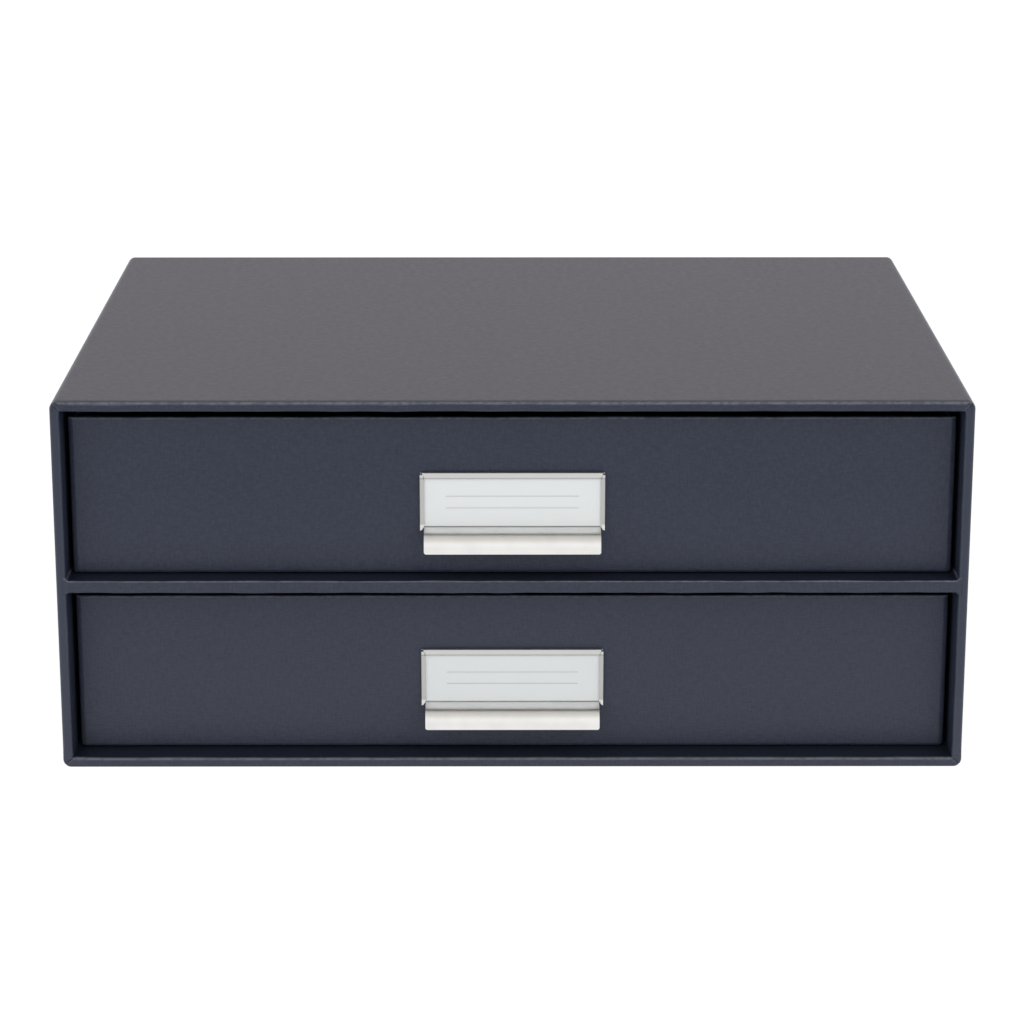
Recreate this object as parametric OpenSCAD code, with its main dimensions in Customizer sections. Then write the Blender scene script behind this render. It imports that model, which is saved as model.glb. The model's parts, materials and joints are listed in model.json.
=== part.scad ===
// Desktop box of two stacked drawers for letter and A4 paper.
// Paper-covered fibreboard case, divider and drawers, with pressed sheet-metal label holders
// whose lower edge is folded out as a pull. All sizes are in millimetres.
// The origin is the centre of the case's base. +Z is up and the drawers open towards -Y.

/* [Case] */
// Outside width of the case
case_w = 330; // [250:1:420]
// Outside depth of the case, front edge to back
case_d = 255; // [190:1:340]
// Outside height of the case
case_h = 138.4; // [124:0.2:200]
// Thickness of the bare board of the case's walls
case_board = 3; // [2:0.1:4.5]
// Thickness of the bare board of the divider between the drawers
divider_board_t = 4.1; // [2.5:0.1:6]
// Radius of the case's long outer edges
case_edge_r = 3; // [1.8:0.1:5]
// Radius of the case's front and back edges
case_front_r = 1.7; // [0.6:0.1:1.7]
// Radius of the divider's front edges
divider_front_r = 0.7; // [0.6:0.1:1.5]

/* [Paper] */
// Thickness of the covering and lining papers
paper_t = 0.3; // [0.15:0.05:0.5]
// Width of the strips of covering paper that are turned over an edge
turn_in = 15; // [8:0.5:22]

/* [Drawers] */
// Thickness of the bare board of a drawer's walls and bottom
drawer_board = 2.5; // [1.5:0.1:3.5]
// Gap between a drawer and the case at each side
side_gap = 1.6; // [0.5:0.1:4]
// Gap between a drawer's rim and the board above it
head_gap = 4.35; // [1:0.05:8]
// Gap between a drawer and the paper that it slides on
floor_gap = 0.3; // [0.2:0.05:0.6]
// Gap between the back of the lower drawer, pushed home, and the case
rear_gap = 0.3; // [0.2:0.1:4]
// How far the upper drawer's front stands behind the case's front edge, as it is left
upper_recess = 8.6; // [5:0.1:11]
// How far the lower drawer's front stands behind the case's front edge, pushed home
lower_recess = 11.2; // [11:0.1:16]
// Radius of a drawer's upright corners
drawer_corner_r = 2.3; // [1.2:0.1:2.7]
// Radius of a drawer's other edges, the rim's included
drawer_edge_r = 1.1; // [0.6:0.1:1.2]

/* [Label holder] */
// Width of the holder's frame
holder_w = 67.2; // [60:0.1:90]
// Width of the pull that is folded out below the card
pull_w = 63.8; // [50:0.1:63.8]
// Thickness of the sheet metal
sheet_t = 0.5; // [0.3:0.05:0.6]
// Depth of the slot that the card slides into
slot_t = 0.9; // [0.8:0.05:1.5]
// Height of the pull's upper face above the drawer's underside
shelf_rise = 18; // [14:0.1:24]
// Height of the frame above the pull's upper face
frame_rise = 20.4; // [16:0.1:24]
// Length by which the frame's sides reach below the pull's upper face
tip_drop = 1.5; // [1.2:0.1:3]
// Height of the frame's band above the card
top_band = 2.3; // [1.5:0.1:4]
// Width of the frame's bands beside the card
side_band = 1.7; // [1.2:0.1:1.8]
// Radius of the window's upper corners
window_r = 0.8; // [0.3:0.1:1.5]
// Outside radius of the frame's folded edges
fold_r = 0.6; // [0.2:0.05:0.7]
// Size of the notches that free the folds at the frame's upper corners
corner_notch = 0.9; // [0.6:0.05:1.1]
// Distance from the drawer's face to the front of the pull
pull_reach = 11; // [9:0.1:16]
// Height of the pull, from its upper face down to its lower edge
pull_drop = 7.6; // [6.6:0.1:9]
// Inside radius of the bend from the frame's plate to the pull
shelf_bend_r = 1; // [0.8:0.1:2]
// Outside radius of the bend at the front of the pull
lip_bend_r = 5.5; // [1:0.1:6]
// Radius of the pull's lower corners
lip_corner_r = 0.8; // [0.3:0.1:2]
// Slit between the pull and the frame's sides
relief_gap = 0.3; // [0.2:0.05:0.5]

/* [Label card] */
// Thickness of the card
card_t = 0.35; // [0.2:0.05:0.35]
// Gap between the card's edges and the holder's folds
card_gap = 0.35; // [0.2:0.05:0.6]
// Gap between the card and the rivet heads behind it
card_play = 0.05; // [0.02:0.01:0.1]

/* [Rivets] */
// Distance between the two rivets of a holder
rivet_spacing = 44; // [24:1:50]
// Radius of a rivet's shank
rivet_r = 1.5; // [1:0.1:2]
// Radius of a rivet's flat head
rivet_head_r = 3; // [2.4:0.1:4]
// Thickness of a rivet's flat head
rivet_head_t = 0.35; // [0.2:0.05:0.35]
// Radius of a rivet's spread tail, inside the drawer
rivet_tail_r = 2.7; // [2.3:0.1:3.5]
// Thickness of a rivet's spread tail
rivet_tail_t = 0.7; // [0.4:0.1:1.2]
// Radius of the hollow in a rivet's tail
rivet_hollow_r = 0.9; // [0.5:0.1:0.9]
// Depth of the hollow in a rivet's tail
rivet_hollow_depth = 3; // [1:0.1:3.2]
// Gap round a rivet's shank in the pieces that it holds
rivet_hole_gap = 0.05; // [0.02:0.01:0.2]

/* [Hidden] */
$fn = 96;
CUT = 1; // how far a cutting shape runs past the face that it cuts
PAPER = [0.255, 0.275, 0.314];
LINING = [0.235, 0.25, 0.285];
BOARD = [0.60, 0.56, 0.50];
METAL = [0.80, 0.80, 0.77];
CARD = [0.93, 0.94, 0.94];

// Case: a wall is a board with paper on both faces
case_t = case_board + 2 * paper_t;
divider_t = divider_board_t + 2 * paper_t;
bay_w = case_w - 2 * case_t;
bay_h = (case_h - 2 * case_t - divider_t) / 2;
bay_d = case_d - case_t;
lower_bay_z = case_t;
divider_z = lower_bay_z + bay_h;
upper_bay_z = divider_z + divider_t;
board_inset = paper_t + case_board; // from the outside to a case board's inner face
board_span = case_w - 2 * board_inset; // width between the side boards

// Drawers, drawn from their own front face and underside
drawer_w = bay_w - 2 * side_gap;
drawer_h = bay_h - head_gap - floor_gap;
drawer_d = bay_d - lower_recess - rear_gap;
drawer_t = drawer_board + 2 * paper_t;
drawer_inset = paper_t + drawer_board;

// Label holder, in the drawer's coordinates: its front faces -Y
holder_t = 2 * sheet_t + slot_t;
holder_top = shelf_rise + frame_rise;
holder_tip = shelf_rise - tip_drop;
plate_bottom = shelf_rise + shelf_bend_r;
tip_in = holder_w / 2 - side_band;
slit_x = pull_w / 2 + relief_gap;
rivet_z = shelf_rise + frame_rise / 2;
// The card's foot stands on the bend, at the height that the bend has under its back
card_back = sheet_t + rivet_head_t + card_play;
card_bend_run = sheet_t + shelf_bend_r - card_back;
card_foot = plate_bottom - sqrt(pow(shelf_bend_r, 2) - pow(card_bend_run, 2)) + card_play;
card_w = holder_w - 2 * sheet_t - 2 * card_gap;
card_top = holder_top - sheet_t - card_gap;

// ---- drawing helpers ----

// Extrudes an outline drawn in X and Z from y0 to y1
module along_y(y0, y1)
    translate([0, y1, 0]) rotate([90, 0, 0]) linear_extrude(y1 - y0) children();

// Extrudes an outline drawn in Y and Z, centred on x = 0
module along_x(length)
    translate([-length / 2, 0, 0]) rotate([90, 0, 90]) linear_extrude(length) children();

// Extrudes an outline drawn in X and Y from z0 to z1
module along_z(z0, z1)
    translate([0, 0, z0]) linear_extrude(z1 - z0) children();

// Rectangle centred on x = 0, from y0 to y1
module band(w, y0, y1)
    translate([-w / 2, y0]) square([w, y1 - y0]);

// The same with four round corners
module soft_band(w, y0, y1, r) {
    band(w - 2 * r, y0, y1);
    band(w, y0 + r, y1 - r);
    for (x = [-w / 2 + r, w / 2 - r], y = [y0 + r, y1 - r])
        translate([x, y]) circle(r);
}

// Outline of a hollow of width w and some depth, centred on x = 0, that opens towards -Y
// between two edges of radius r
module flared_band(w, depth, r) {
    band(w, -CUT, depth);
    band(w + 2 * r, -CUT, 0);
    for (side = [0, 1]) mirror([side, 0]) difference() {
        translate([w / 2, -CUT]) square([r, r + CUT]);
        translate([w / 2 + r, r]) circle(r);
    }
}

// Swaps the two axes of an outline
module swapped()
    mirror([1, -1]) children();

// Block centred on x = 0 with round edges: upright ones, those along X and those along Y
module soft_block(w, y0, y1, z0, z1, upright_r, x_edge_r, y_edge_r)
    intersection() {
        along_z(z0, z1) soft_band(w, y0, y1, upright_r);
        along_x(w) translate([0, (z0 + z1) / 2]) swapped() soft_band(z1 - z0, y0, y1, x_edge_r);
        along_y(y0, y1) soft_band(w, z0, z1, y_edge_r);
    }

// A quarter of a bent sheet, from +X round to +Y, turned by an angle
module quarter_bend(r_in, r_out, turn)
    rotate(turn) intersection() {
        difference() {
            circle(r_out);
            circle(r_in);
        }
        square(r_out);
    }

// Moves the case from its front edge to the origin
module on_base()
    translate([0, -case_d / 2, 0]) children();

module in_upper_bay()
    on_base() translate([0, upper_recess, upper_bay_z + floor_gap]) children();

module in_lower_bay()
    on_base() translate([0, lower_recess, lower_bay_z + floor_gap]) children();

// ---- case ----

// Outside of the case, drawn in by an inset
module case_body(inset)
    soft_block(
        case_w - 2 * inset, inset, case_d - inset, inset, case_h - inset,
        case_front_r - inset, case_front_r - inset, case_edge_r - inset
    );

// Both bays and the room of the divider between them, widened by grow
module case_hollow(grow)
    intersection() {
        along_z(0, case_h) translate([0, grow])
            flared_band(bay_w + 2 * grow, bay_d, case_front_r - grow);
        along_x(case_w) translate([grow, case_h / 2]) swapped()
            flared_band(case_h - 2 * case_t + 2 * grow, bay_d, case_front_r - grow);
    }

// The case's boards in one, without the divider
module case_core()
    difference() {
        case_body(paper_t);
        case_hollow(paper_t);
    }

module top_board()
    color(BOARD) on_base() intersection() {
        case_core();
        along_z(case_h - board_inset, case_h) band(board_span, 0, case_d);
    }

module bottom_board()
    color(BOARD) on_base() intersection() {
        case_core();
        along_z(0, board_inset) band(board_span, 0, case_d);
    }

module left_side_board()
    color(BOARD) on_base() intersection() {
        case_core();
        along_z(0, case_h) translate([-case_w / 2, 0]) square([board_inset, case_d]);
    }

module right_side_board()
    mirror([1, 0, 0]) left_side_board();

module back_board()
    color(BOARD) on_base() intersection() {
        case_core();
        along_y(case_d - board_inset, case_d)
            band(board_span, board_inset, case_h - board_inset);
    }

// The divider, drawn in by an inset at its front edge, top and underside
module divider_core(inset, back)
    along_x(board_span) translate([0, (divider_z + upper_bay_z) / 2]) swapped() {
        band(divider_t - 2 * inset, divider_front_r, back);
        soft_band(divider_t - 2 * inset, inset, turn_in, divider_front_r - inset);
    }

module divider_board()
    color(BOARD) on_base() divider_core(paper_t, case_d - board_inset);

// Covering paper over the top, the sides and the edge of the bottom, turned over every edge
module case_wrap()
    color(PAPER) on_base() difference() {
        case_body(0);
        case_hollow(0);
        case_core();
        // the linings' room, and some of the boards behind it
        along_y(turn_in, bay_d + paper_t + CUT)
            band(board_span + 2 * CUT, board_inset - CUT, case_h - board_inset + CUT);
        // the divider's room
        along_y(-CUT, turn_in + CUT) band(board_span, divider_z, upper_bay_z);
        // the sheets' room on the back and under the base
        along_y(case_d - paper_t - CUT, case_d + CUT)
            band(case_w - 2 * turn_in, turn_in, case_h - turn_in);
        along_z(-CUT, paper_t + CUT) band(case_w - 2 * turn_in, turn_in, case_d - turn_in);
    }

// Sheet under the case, inside the turned-under strips
module base_paper()
    color(LINING) on_base() along_z(0, paper_t)
        band(case_w - 2 * turn_in, turn_in, case_d - turn_in);

// Sheet on the back, inside the turned-over strips
module back_paper()
    color(PAPER) on_base() along_y(case_d - paper_t, case_d)
        band(case_w - 2 * turn_in, turn_in, case_h - turn_in);

// Strip of covering paper folded round the divider's front edge
module divider_wrap()
    color(PAPER) on_base() difference() {
        divider_core(0, turn_in);
        divider_core(paper_t, turn_in + CUT);
    }

// Paper on a bay's floor, walls, ceiling and back
module bay_lining(bay_z)
    color(LINING) on_base() {
        along_y(turn_in, bay_d) difference() {
            band(board_span, bay_z - paper_t, bay_z + bay_h + paper_t);
            band(bay_w, bay_z, bay_z + bay_h);
        }
        along_y(bay_d, bay_d + paper_t)
            band(board_span, bay_z - paper_t, bay_z + bay_h + paper_t);
    }

module upper_bay_lining()
    bay_lining(upper_bay_z);

module lower_bay_lining()
    bay_lining(lower_bay_z);

// ---- drawer ----

// Plan of the drawer, drawn in by an inset, with sharp corners
module drawer_plan(inset)
    band(drawer_w - 2 * inset, inset, drawer_d - inset);

// Outside of the drawer, drawn in by an inset
module drawer_body(inset)
    soft_block(
        drawer_w - 2 * inset, inset, drawer_d - inset, inset, drawer_h - inset,
        drawer_corner_r - inset, drawer_edge_r - inset, drawer_edge_r - inset
    );

// Inside of the drawer, open at the top between round edges, widened by grow
module drawer_hollow(grow)
    intersection() {
        along_y(0, drawer_d) translate([0, drawer_h - grow]) mirror([0, 1])
            flared_band(drawer_w - 2 * drawer_t + 2 * grow, drawer_h - drawer_t, drawer_edge_r - grow);
        along_x(drawer_w) translate([drawer_d / 2, drawer_h - grow]) mirror([0, 1])
            flared_band(drawer_d - 2 * drawer_t + 2 * grow, drawer_h - drawer_t, drawer_edge_r - grow);
    }

// The drawer's boards in one
module drawer_core()
    difference() {
        drawer_body(paper_t);
        drawer_hollow(paper_t);
    }

module rivet_places()
    for (x = [-rivet_spacing / 2, rivet_spacing / 2])
        translate([x, 0, rivet_z]) rotate([-90, 0, 0]) children();

// Bores for the rivets, from a depth in front of the drawer's face to one behind it
module rivet_holes(front, back)
    rivet_places() translate([0, 0, -front])
        cylinder(r = rivet_r + rivet_hole_gap, h = front + back);

module drawer_front_board()
    color(BOARD) difference() {
        intersection() {
            drawer_core();
            along_z(0, drawer_h) band(drawer_w, 0, drawer_inset);
        }
        rivet_holes(CUT, drawer_t + CUT);
    }

module drawer_back_board()
    color(BOARD) intersection() {
        drawer_core();
        along_z(0, drawer_h) band(drawer_w, drawer_d - drawer_inset, drawer_d);
    }

module drawer_left_board()
    color(BOARD) intersection() {
        drawer_core();
        along_z(0, drawer_h) translate([-drawer_w / 2, drawer_inset])
            square([drawer_inset, drawer_d - 2 * drawer_inset]);
    }

module drawer_right_board()
    mirror([1, 0, 0]) drawer_left_board();

module drawer_bottom_board()
    color(BOARD) along_z(paper_t, drawer_inset) drawer_plan(drawer_inset);

// Covering paper round the four walls, turned over the rim and under the bottom
module drawer_wrap()
    color(PAPER) difference() {
        drawer_body(0);
        drawer_hollow(0);
        drawer_core();
        // the lining's room, and some of the boards behind it
        along_z(drawer_inset - CUT, drawer_h - turn_in) drawer_plan(drawer_inset - CUT);
        // the room of the sheet under the bottom
        along_z(-CUT, paper_t + CUT) drawer_plan(turn_in);
        rivet_holes(CUT, drawer_t + CUT);
    }

module drawer_base_paper()
    color(LINING) along_z(0, paper_t) drawer_plan(turn_in);

// Paper on the bottom and up the walls to the turned-in strip
module drawer_lining()
    color(LINING) difference() {
        union() {
            along_z(drawer_inset, drawer_t) drawer_plan(drawer_inset);
            along_z(drawer_t, drawer_h - turn_in) difference() {
                drawer_plan(drawer_inset);
                drawer_plan(drawer_t);
            }
        }
        rivet_holes(CUT, drawer_t + CUT);
    }

// Frame of the holder: a plate whose top and sides are folded forward and in over the card
module holder_frame()
    difference() {
        intersection() {
            along_z(holder_tip, holder_top) union() {
                soft_band(holder_w, -holder_t, 0, fold_r);
                band(holder_w, -sheet_t, 0);
            }
            along_x(holder_w + CUT) union() {
                translate([-holder_t, holder_tip])
                    square([holder_t, frame_rise + tip_drop - fold_r]);
                translate([fold_r - holder_t, holder_tip])
                    square([holder_t - fold_r, frame_rise + tip_drop]);
                translate([fold_r - holder_t, holder_top - fold_r]) circle(fold_r);
            }
        }
        // slot for the card
        along_z(holder_tip - CUT, holder_top - sheet_t)
            band(holder_w - 2 * sheet_t, sheet_t - holder_t, -sheet_t);
        // window in front of the card
        along_y(-holder_t - CUT, -sheet_t)
            soft_band(2 * tip_in, holder_tip - 2 * CUT, holder_top - top_band, window_r);
        // opening under the plate for the pull and the slits beside it
        along_y(-holder_t - CUT, CUT) band(2 * slit_x, holder_tip - CUT, plate_bottom);
        for (side = [-1, 1]) {
            // notch at an upper corner
            translate([side * holder_w / 2, 0, holder_top])
                cube([2 * corner_notch, 4 * holder_t, 2 * corner_notch], center = true);
            // slanting end of a side
            along_y(-holder_t - CUT, CUT) polygon([
                [side * (tip_in - CUT), holder_tip - CUT],
                [side * (tip_in - CUT), shelf_rise],
                [side * tip_in, shelf_rise],
                [side * holder_w / 2, holder_tip],
                [side * holder_w / 2, holder_tip - CUT]
            ]);
        }
    }

// The pull in section: down the plate, out, and down again
module pull_section() {
    translate([-sheet_t - shelf_bend_r, plate_bottom])
        quarter_bend(shelf_bend_r, shelf_bend_r + sheet_t, -90);
    translate([lip_bend_r - pull_reach, shelf_rise - sheet_t])
        square([pull_reach - lip_bend_r - sheet_t - shelf_bend_r, sheet_t]);
    translate([lip_bend_r - pull_reach, shelf_rise - lip_bend_r])
        quarter_bend(lip_bend_r - sheet_t, lip_bend_r, 90);
    translate([-pull_reach, shelf_rise - pull_drop])
        square([sheet_t, pull_drop - lip_bend_r]);
}

module label_holder()
    color(METAL) difference() {
        union() {
            holder_frame();
            intersection() {
                along_x(pull_w) pull_section();
                along_y(-pull_reach - CUT, CUT)
                    soft_band(pull_w, shelf_rise - pull_drop, holder_top, lip_corner_r);
            }
        }
        rivet_holes(holder_t, CUT);
    }

module label_card()
    color(CARD) along_y(-card_back - card_t, -card_back)
        band(card_w, card_foot, card_top);

// Rivets: a flat head on the plate, and a hollow tail spread on the lining
module holder_rivets()
    color(METAL) rivet_places() difference() {
        union() {
            translate([0, 0, -sheet_t - rivet_head_t])
                cylinder(r = rivet_head_r, h = rivet_head_t);
            translate([0, 0, -sheet_t - rivet_head_t])
                cylinder(r = rivet_r, h = sheet_t + rivet_head_t + drawer_t + rivet_tail_t);
            translate([0, 0, drawer_t])
                cylinder(r = rivet_tail_r, h = rivet_tail_t);
        }
        translate([0, 0, drawer_t + rivet_tail_t - rivet_hollow_depth])
            cylinder(r = rivet_hollow_r, h = rivet_hollow_depth + CUT);
    }

// ---- the pieces of both drawers ----

module upper_drawer_front_board() in_upper_bay() drawer_front_board();
module upper_drawer_back_board() in_upper_bay() drawer_back_board();
module upper_drawer_left_board() in_upper_bay() drawer_left_board();
module upper_drawer_right_board() in_upper_bay() drawer_right_board();
module upper_drawer_bottom_board() in_upper_bay() drawer_bottom_board();
module upper_drawer_wrap() in_upper_bay() drawer_wrap();
module upper_drawer_base_paper() in_upper_bay() drawer_base_paper();
module upper_drawer_lining() in_upper_bay() drawer_lining();
module upper_label_holder() in_upper_bay() label_holder();
module upper_label_card() in_upper_bay() label_card();
module upper_holder_rivets() in_upper_bay() holder_rivets();

module lower_drawer_front_board() in_lower_bay() drawer_front_board();
module lower_drawer_back_board() in_lower_bay() drawer_back_board();
module lower_drawer_left_board() in_lower_bay() drawer_left_board();
module lower_drawer_right_board() in_lower_bay() drawer_right_board();
module lower_drawer_bottom_board() in_lower_bay() drawer_bottom_board();
module lower_drawer_wrap() in_lower_bay() drawer_wrap();
module lower_drawer_base_paper() in_lower_bay() drawer_base_paper();
module lower_drawer_lining() in_lower_bay() drawer_lining();
module lower_label_holder() in_lower_bay() label_holder();
module lower_label_card() in_lower_bay() label_card();
module lower_holder_rivets() in_lower_bay() holder_rivets();

top_board();
bottom_board();
left_side_board();
right_side_board();
back_board();
divider_board();
case_wrap();
base_paper();
back_paper();
divider_wrap();
upper_bay_lining();
lower_bay_lining();
upper_drawer_front_board();
upper_drawer_back_board();
upper_drawer_left_board();
upper_drawer_right_board();
upper_drawer_bottom_board();
upper_drawer_wrap();
upper_drawer_base_paper();
upper_drawer_lining();
upper_label_holder();
upper_label_card();
upper_holder_rivets();
lower_drawer_front_board();
lower_drawer_back_board();
lower_drawer_left_board();
lower_drawer_right_board();
lower_drawer_bottom_board();
lower_drawer_wrap();
lower_drawer_base_paper();
lower_drawer_lining();
lower_label_holder();
lower_label_card();
lower_holder_rivets();
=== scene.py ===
import json
import math
import bmesh
import bpy
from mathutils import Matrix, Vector

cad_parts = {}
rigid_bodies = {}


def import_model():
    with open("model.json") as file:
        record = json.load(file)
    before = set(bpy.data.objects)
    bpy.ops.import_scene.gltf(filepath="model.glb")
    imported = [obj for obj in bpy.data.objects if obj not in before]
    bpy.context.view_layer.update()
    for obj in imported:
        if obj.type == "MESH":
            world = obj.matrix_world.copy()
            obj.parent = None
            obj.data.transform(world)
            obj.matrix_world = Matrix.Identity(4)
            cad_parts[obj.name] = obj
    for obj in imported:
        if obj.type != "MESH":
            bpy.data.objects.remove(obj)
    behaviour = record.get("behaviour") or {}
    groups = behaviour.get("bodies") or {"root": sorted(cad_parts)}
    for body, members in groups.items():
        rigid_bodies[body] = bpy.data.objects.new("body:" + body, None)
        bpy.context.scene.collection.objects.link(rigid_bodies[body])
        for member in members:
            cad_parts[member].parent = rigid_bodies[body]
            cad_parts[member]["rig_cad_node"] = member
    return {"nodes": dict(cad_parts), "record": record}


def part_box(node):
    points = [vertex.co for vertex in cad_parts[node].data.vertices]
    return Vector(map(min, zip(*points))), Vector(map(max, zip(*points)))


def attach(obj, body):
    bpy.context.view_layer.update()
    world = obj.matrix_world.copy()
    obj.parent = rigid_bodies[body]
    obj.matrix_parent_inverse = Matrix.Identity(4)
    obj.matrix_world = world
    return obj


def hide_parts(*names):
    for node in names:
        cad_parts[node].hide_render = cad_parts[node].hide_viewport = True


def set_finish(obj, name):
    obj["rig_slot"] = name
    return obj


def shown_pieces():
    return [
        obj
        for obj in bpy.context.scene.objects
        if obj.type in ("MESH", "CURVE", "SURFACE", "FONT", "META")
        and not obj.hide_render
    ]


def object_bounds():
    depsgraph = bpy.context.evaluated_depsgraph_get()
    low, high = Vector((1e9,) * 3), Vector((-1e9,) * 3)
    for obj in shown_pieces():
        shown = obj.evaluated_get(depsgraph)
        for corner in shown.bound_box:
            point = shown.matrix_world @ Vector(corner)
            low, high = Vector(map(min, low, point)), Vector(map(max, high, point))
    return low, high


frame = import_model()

cadLow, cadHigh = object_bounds()
tiny = 0.00001


def same(a, b):
    return abs(a - b) < tiny


def spread(start, end, step):
    # evenly spaced places between two ends, without the ends
    count = max(1, round((end - start) / step))
    return [start + (end - start) * i / count for i in range(1, count)]


# ---------- working in edit mode ----------


def reopen(piece):
    # goes into edit mode on one piece alone
    if bpy.context.object and bpy.context.object.mode == "EDIT":
        bpy.ops.object.mode_set(mode="OBJECT")
    bpy.ops.object.select_all(action="DESELECT")
    piece.select_set(True)
    bpy.context.view_layer.objects.active = piece
    bpy.ops.object.mode_set(mode="EDIT")


def startBox(name, low, high):
    # a box between two corners, left open in edit mode
    if bpy.context.object and bpy.context.object.mode == "EDIT":
        bpy.ops.object.mode_set(mode="OBJECT")
    bpy.ops.object.select_all(action="DESELECT")
    low, high = Vector(low), Vector(high)
    bpy.ops.mesh.primitive_cube_add(size=1, location=(low + high) / 2, scale=high - low)
    piece = bpy.context.object
    piece.name = piece.data.name = name
    bpy.ops.object.transform_apply(location=True, rotation=True, scale=True)
    bpy.ops.object.mode_set(mode="EDIT")
    return piece


def pick(piece, part, test):
    # selects the faces, edges or points that pass a test, and says how many
    bpy.ops.mesh.select_mode(type={"faces": "FACE", "edges": "EDGE", "points": "VERT"}[part])
    bpy.ops.mesh.select_all(action="DESELECT")
    shape = bmesh.from_edit_mesh(piece.data)
    found = 0
    for item in {"faces": shape.faces, "edges": shape.edges, "points": shape.verts}[part]:
        if part == "faces":
            good = test(item.calc_center_median(), item.normal)
        elif part == "edges":
            good = test(item.verts[0].co, item.verts[1].co)
        else:
            good = test(item.co)
        if good:
            item.select_set(True)
            found += 1
    bmesh.update_edit_mesh(piece.data)
    return found


def cutAcross(piece, axis, places, only=None):
    # cuts the faces along planes that stand across one axis
    for place in places:
        if only:
            pick(piece, "faces", only)
        else:
            bpy.ops.mesh.select_all(action="SELECT")
        point, normal = Vector(), Vector()
        point[axis], normal[axis] = place, 1
        bpy.ops.mesh.bisect(plane_co=point, plane_no=normal)


def roundEdges(piece, weight, test):
    # marks the edges that a later bevel rounds, as a share of its width
    pick(piece, "edges", test)
    bpy.ops.transform.edge_bevelweight(value=weight)


def markGroup(piece, name, weight, test):
    # puts points into a vertex group, which limits a modifier
    if pick(piece, "points", test):
        if name not in piece.vertex_groups:
            piece.vertex_groups.new(name=name)
        piece.vertex_groups.active_index = piece.vertex_groups[name].index
        bpy.context.scene.tool_settings.vertex_group_weight = weight
        bpy.ops.object.vertex_group_assign()


def applied(piece, kind, **settings):
    # adds a modifier with these settings and applies it
    bpy.ops.object.mode_set(mode="OBJECT")
    modifier = piece.modifiers.new(kind.title(), kind)
    for name, value in settings.items():
        setattr(modifier, name, value)
    bpy.ops.object.modifier_apply(modifier=modifier.name)
    bpy.ops.object.mode_set(mode="EDIT")


def waves(piece, group, length, height):
    # moves the points of a group in soft waves, as hand-folded paper has
    cloud = bpy.data.textures.new(piece.name + group, "CLOUDS")
    cloud.noise_scale = length
    cloud.noise_depth = 1
    applied(piece, "DISPLACE", texture=cloud, texture_coords="LOCAL", vertex_group=group,
            strength=height, mid_level=0.5)


def dent(piece, group, depth):
    # presses the points of a group straight in
    applied(piece, "DISPLACE", vertex_group=group, strength=-depth, mid_level=0)


def drill(piece, places, face, radius):
    # round holes along Y, at x and z, through what stands near a face
    for x, z in places:
        bpy.ops.object.mode_set(mode="OBJECT")
        bpy.ops.mesh.primitive_cylinder_add(vertices=32, radius=radius, depth=0.004,
                                            location=(x, face, z), rotation=(math.radians(90), 0, 0))
        drillBit = bpy.context.object
        bpy.context.view_layer.objects.active = piece
        applied(piece, "BOOLEAN", object=drillBit, operation="DIFFERENCE", solver="EXACT")
        bpy.data.objects.remove(drillBit)
    reopen(piece)


def rivetPlaces(node):
    # the middles of the two rivets, as x and z
    low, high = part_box(node)
    head = (high.z - low.z) / 2
    return [(x, (low.z + high.z) / 2) for x in (low.x + head, high.x - head)]


def copyTo(piece, name, fromNode, toNode):
    # a copy with its own mesh, moved from where one CAD node is to where another is
    reopen(piece)
    bpy.ops.object.mode_set(mode="OBJECT")
    bpy.ops.object.duplicate_move(
        TRANSFORM_OT_translate={"value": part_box(toNode)[0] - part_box(fromNode)[0]})
    copied = bpy.context.object
    copied.name = copied.data.name = name
    bpy.ops.object.transform_apply(location=True, rotation=True, scale=True)
    return copied


def finishPiece(piece, body, slot, node, angle=40):
    bpy.ops.mesh.select_all(action="SELECT")
    bpy.ops.mesh.remove_doubles(threshold=0.000005)
    bpy.ops.mesh.normals_make_consistent(inside=False)
    bpy.ops.object.mode_set(mode="OBJECT")
    bpy.ops.object.shade_smooth_by_angle(angle=math.radians(angle))
    flatFirst = piece.modifiers.new("flatFirst", "WEIGHTED_NORMAL")
    flatFirst.keep_sharp = True
    bpy.ops.object.modifier_apply(modifier=flatFirst.name)
    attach(piece, body)
    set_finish(piece, slot)
    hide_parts(node)
    print("made", piece.name, "with", len(piece.data.polygons), "faces")


# ---------- camera ----------

photoCamera = {
    "place": (-0.0032366, -1.2335714, 0.4182839),
    "turn": (73.8262, -0.0096, -0.1554),
    "sensor": 36,
    "lens": 112.7512,
}
bpy.ops.object.camera_add(location=photoCamera["place"],
                          rotation=[math.radians(a) for a in photoCamera["turn"]])
camera = bpy.context.object
camera.name = "camera"
camera.data.sensor_width = photoCamera["sensor"]
camera.data.lens = photoCamera["lens"]
camera.data.clip_start, camera.data.clip_end = 0.05, 50
bpy.context.scene.camera = camera

# ---------- covering paper of the case ----------

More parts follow.
